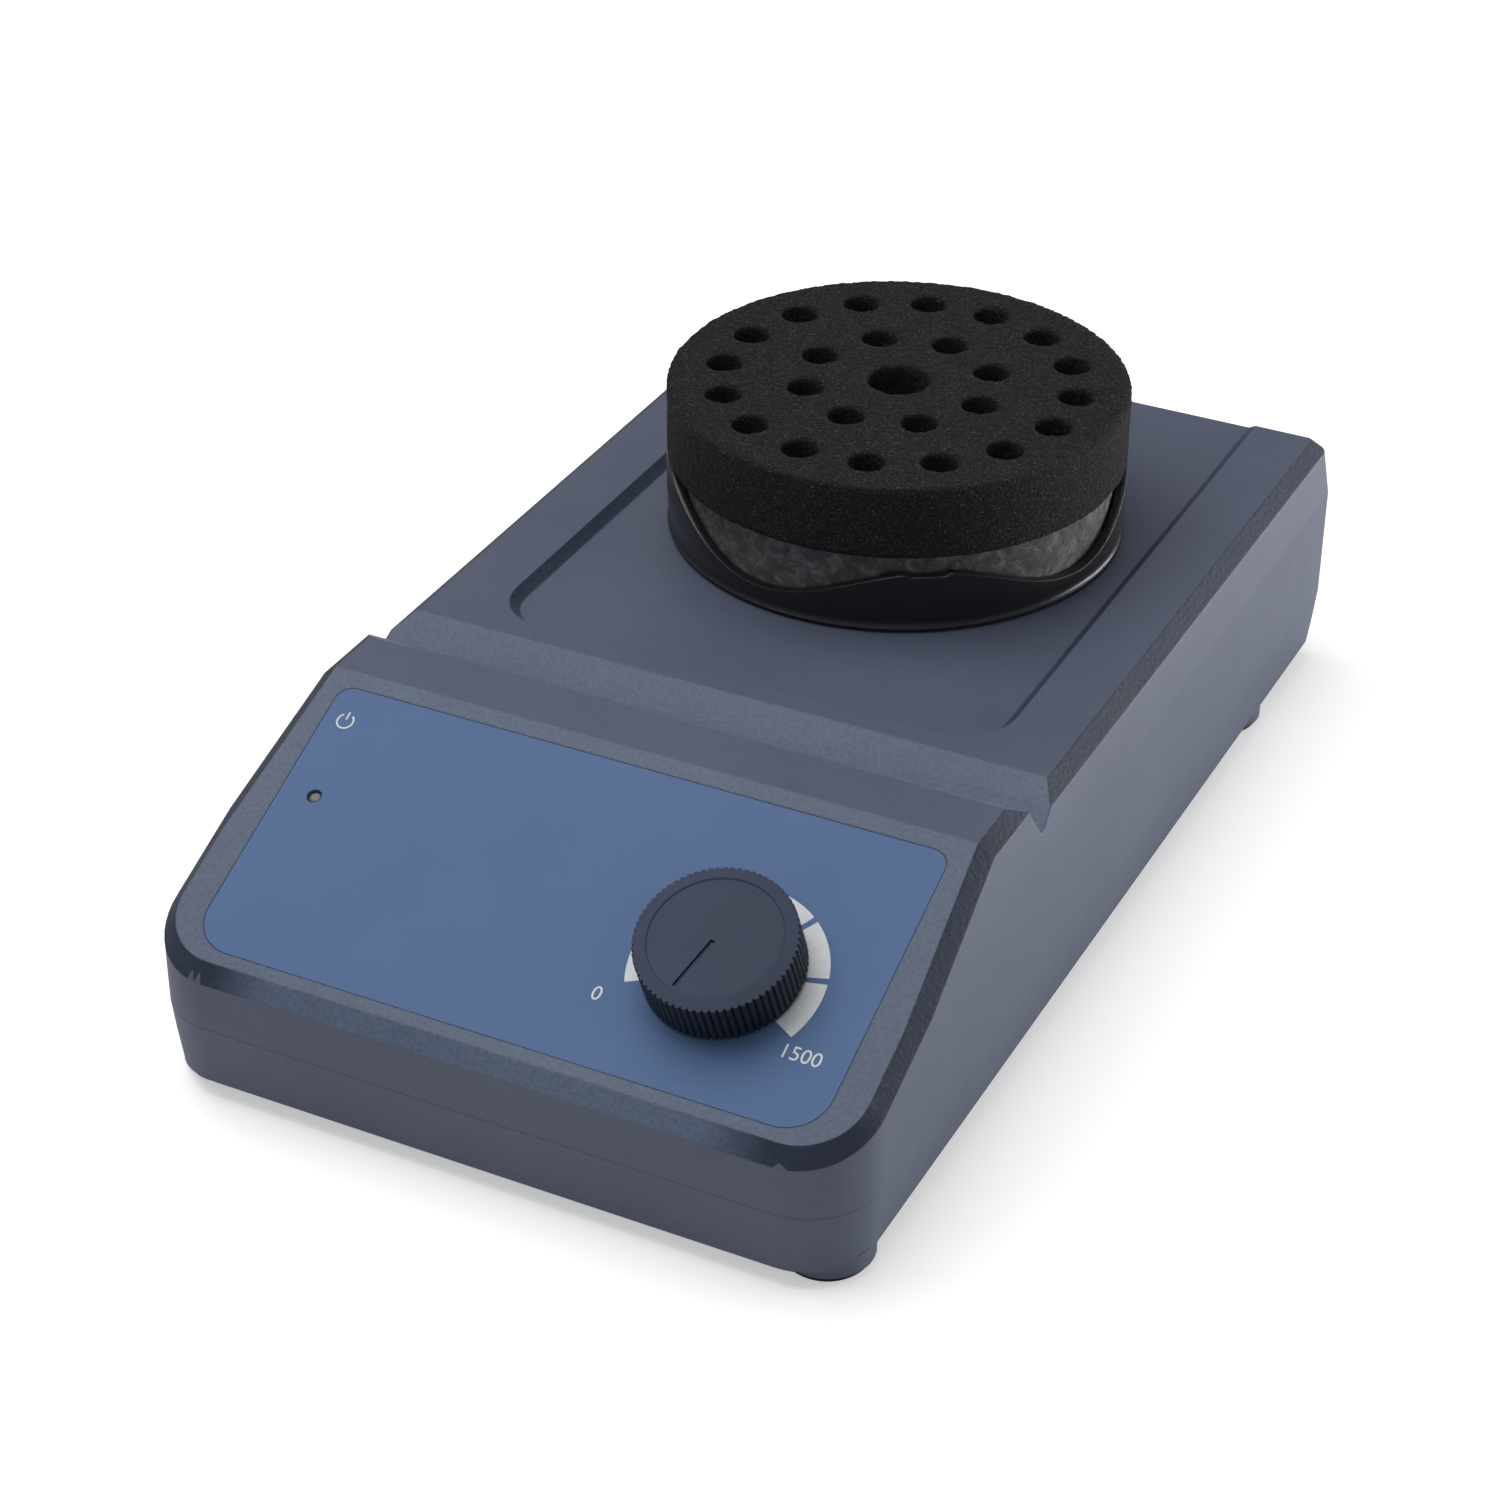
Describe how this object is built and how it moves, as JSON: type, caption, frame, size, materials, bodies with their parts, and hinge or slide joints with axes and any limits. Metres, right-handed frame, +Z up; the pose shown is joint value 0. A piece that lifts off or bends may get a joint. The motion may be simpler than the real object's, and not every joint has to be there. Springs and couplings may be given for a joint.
{
  "type": "microplate shaker",
  "caption": "Bench microplate shaker: sloping control panel with a speed knob, and an orbiting cup that holds a foam insert for tubes.",
  "frame": {"origin": "under the middle of the case, on the surface that the feet stand on", "axes": "+Y towards the back of the case, +X to the right of someone at the control panel, +Z up"},
  "size_m": [0.15, 0.26, 0.0878],
  "materials": {
    "case_abs": "textured moulded ABS, slate blue",
    "panel_film": "printed film, mid blue",
    "lamp_lens": "diffused lens",
    "knob_plastic": "moulded, dark navy grey",
    "black_plastic": "moulded, black",
    "cup_gloss": "glossy black",
    "foam": "open-cell foam, charcoal",
    "foot_rubber": "moulded rubber",
    "board": "green laminate",
    "brass": "turned",
    "aluminium": "machined",
    "rubber_seal": "moulded rubber",
    "steel": "zinc plated"
  },
  "bodies": {
    "base": {"upper_housing": "case_abs", "lower_housing": "case_abs", "control_panel_overlay": "panel_film", "indicator_led": "lamp_lens", "control_board": "board", "board_pillars": "brass", "board_screws": "steel", "potentiometer_body": "black_plastic", "potentiometer_nut": "steel", "ballast_plate": "steel", "supply_pillars": "brass", "power_supply_board": "board", "supply_transformer": "black_plastic", "supply_capacitors": "aluminium", "supply_heat_sink": "aluminium", "motor_mount_plate": "steel", "plate_standoffs": "aluminium", "plate_screws": "steel", "motor_housing": "aluminium", "motor_screws": "steel", "motor_bearing_lower": "steel", "motor_bearing_upper": "steel", "guide_bearings_lower": "steel", "deck_collar": "rubber_seal", "power_inlet": "black_plastic", "inlet_pins": "brass", "switch_frame": "black_plastic", "foot_front_left": "foot_rubber", "foot_front_right": "foot_rubber", "foot_rear_left": "foot_rubber", "foot_rear_right": "foot_rubber", "foot_screws": "steel", "housing_screws": "steel"},
    "rotor": {"motor_shaft": "steel", "rotor_magnet": "steel", "eccentric_crank": "steel", "counterweight": "steel", "drive_bearing_inner_ring": "steel", "drive_bearing_balls": "steel", "drive_bearing_cage": "steel"},
    "platform": {"carrier_plate": "aluminium", "drive_bearing_outer_ring": "steel", "guide_bearings_upper": "steel", "tube_cup": "cup_gloss", "cup_screws": "steel"},
    "guide_1": {"guide_crank_1": "steel"},
    "guide_2": {"guide_crank_2": "steel"},
    "guide_3": {"guide_crank_3": "steel"},
    "insert": {"foam_insert": "foam"},
    "knob": {"speed_knob": "knob_plastic", "potentiometer_shaft": "steel"},
    "rocker": {"power_rocker": "black_plastic"}
  },
  "joints": [
    {"name": "motor_spin", "type": "hinge", "parent": "base", "child": "rotor", "pos_m": [0, 0.05005, 0.036], "axis": [0, 0, 1], "continuous": true},
    {"name": "platform_orbit", "type": "hinge", "parent": "rotor", "child": "platform", "pos_m": [0, 0.0523, 0.043], "axis": [0, 0, 1], "continuous": true},
    {"name": "guide_1_spin", "type": "hinge", "parent": "base", "child": "guide_1", "pos_m": [0, 0.08605, 0.0344], "axis": [0, 0, 1], "continuous": true},
    {"name": "guide_2_spin", "type": "hinge", "parent": "base", "child": "guide_2", "pos_m": [-0.03118, 0.03205, 0.0344], "axis": [0, 0, 1], "continuous": true},
    {"name": "guide_3_spin", "type": "hinge", "parent": "base", "child": "guide_3", "pos_m": [0.03118, 0.03205, 0.0344], "axis": [0, 0, 1], "continuous": true},
    {"name": "foam_lift", "type": "slide", "parent": "platform", "child": "insert", "axis": [0, 0, 1], "range_m": [0, 0.04]},
    {"name": "speed_knob_turn", "type": "hinge", "parent": "base", "child": "knob", "pos_m": [0.0358, -0.10018, 0.0444], "axis": [0, -0.3997, 0.9167], "range_deg": [-283, 0]},
    {"name": "power_rocker_tilt", "type": "hinge", "parent": "base", "child": "rocker", "pos_m": [-0.05, 0.1244, 0.031], "axis": [-1, 0, 0], "range_deg": [0, 16]}
  ],
  "couplings": [
    {"joint": "platform_orbit", "follows": "motor_spin", "ratio": -1},
    {"joint": "guide_1_spin", "follows": "motor_spin", "ratio": 1},
    {"joint": "guide_2_spin", "follows": "motor_spin", "ratio": 1},
    {"joint": "guide_3_spin", "follows": "motor_spin", "ratio": 1}
  ]
}
